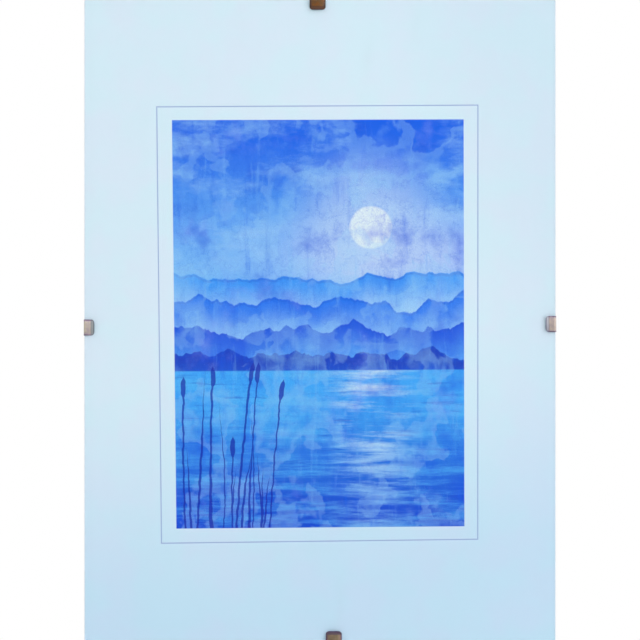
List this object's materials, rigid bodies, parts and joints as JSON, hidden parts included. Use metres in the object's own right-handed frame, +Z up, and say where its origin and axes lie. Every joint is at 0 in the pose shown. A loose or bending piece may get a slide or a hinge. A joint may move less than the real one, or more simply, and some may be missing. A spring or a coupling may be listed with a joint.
{
  "type": "clip frame",
  "caption": "Frameless wall picture frame: a glass pane, printed sheet and hardboard back held by spring steel clips hooked over the edges, with swinging triangle hanger rings.",
  "frame": {"origin": "where the wall nail bears, inside the point of the top hanging ring", "axes": "+X to the right seen from the front, +Y from the front towards the wall, +Z up as hung upright"},
  "size_m": [0.295, 0.0098, 0.4009],
  "materials": {
    "glass": "clear float glass",
    "print": "satin printed sheet",
    "hardboard": "brown hardboard",
    "clip_steel": "bronze-tinted spring steel",
    "hanger_steel": "bright zinc plate"
  },
  "bodies": {
    "panel": {"glass_pane": "glass", "insert_sheet": "print", "backing_board": "hardboard", "hanger_strap_top": "hanger_steel", "hanger_strap_side": "hanger_steel", "hanger_rivet_top": "hanger_steel", "hanger_rivet_side": "hanger_steel"},
    "clip_top": {"clip_top": "clip_steel"},
    "clip_bottom": {"clip_bottom": "clip_steel"},
    "clip_left": {"clip_left": "clip_steel"},
    "clip_right": {"clip_right": "clip_steel"},
    "hanger_ring_top": {"hanger_ring_top": "hanger_steel"},
    "hanger_ring_side": {"hanger_ring_side": "hanger_steel"}
  },
  "joints": [
    {"name": "clip_top_release", "type": "hinge", "parent": "panel", "child": "clip_top", "pos_m": [-0.0015, -0.00778, 0.0509], "axis": [1, 0, 0], "range_deg": [0, 20], "stiffness_Nm_per_rad": 1, "springref_deg": -5.16},
    {"name": "clip_bottom_release", "type": "hinge", "parent": "panel", "child": "clip_bottom", "pos_m": [0.0086, -0.00778, -0.3409], "axis": [-1, 0, 0], "range_deg": [0, 20], "stiffness_Nm_per_rad": 1, "springref_deg": -5.16},
    {"name": "clip_left_release", "type": "hinge", "parent": "panel", "child": "clip_left", "pos_m": [-0.1429, -0.00778, -0.1494], "axis": [0, 0, 1], "range_deg": [0, 20], "stiffness_Nm_per_rad": 1, "springref_deg": -5.16},
    {"name": "clip_right_release", "type": "hinge", "parent": "panel", "child": "clip_right", "pos_m": [0.1429, -0.00778, -0.1472], "axis": [0, 0, -1], "range_deg": [0, 20], "stiffness_Nm_per_rad": 1, "springref_deg": -5.16},
    {"name": "hanger_ring_top_swing", "type": "hinge", "parent": "panel", "child": "hanger_ring_top", "pos_m": [0, 0, -0.0101], "axis": [-1, 0, 0], "range_deg": [-2.5, 160]},
    {"name": "hanger_ring_side_swing", "type": "hinge", "parent": "panel", "child": "hanger_ring_side", "pos_m": [-0.0819, 0, -0.145], "axis": [0, 0, -1], "range_deg": [-2.5, 160]}
  ]
}
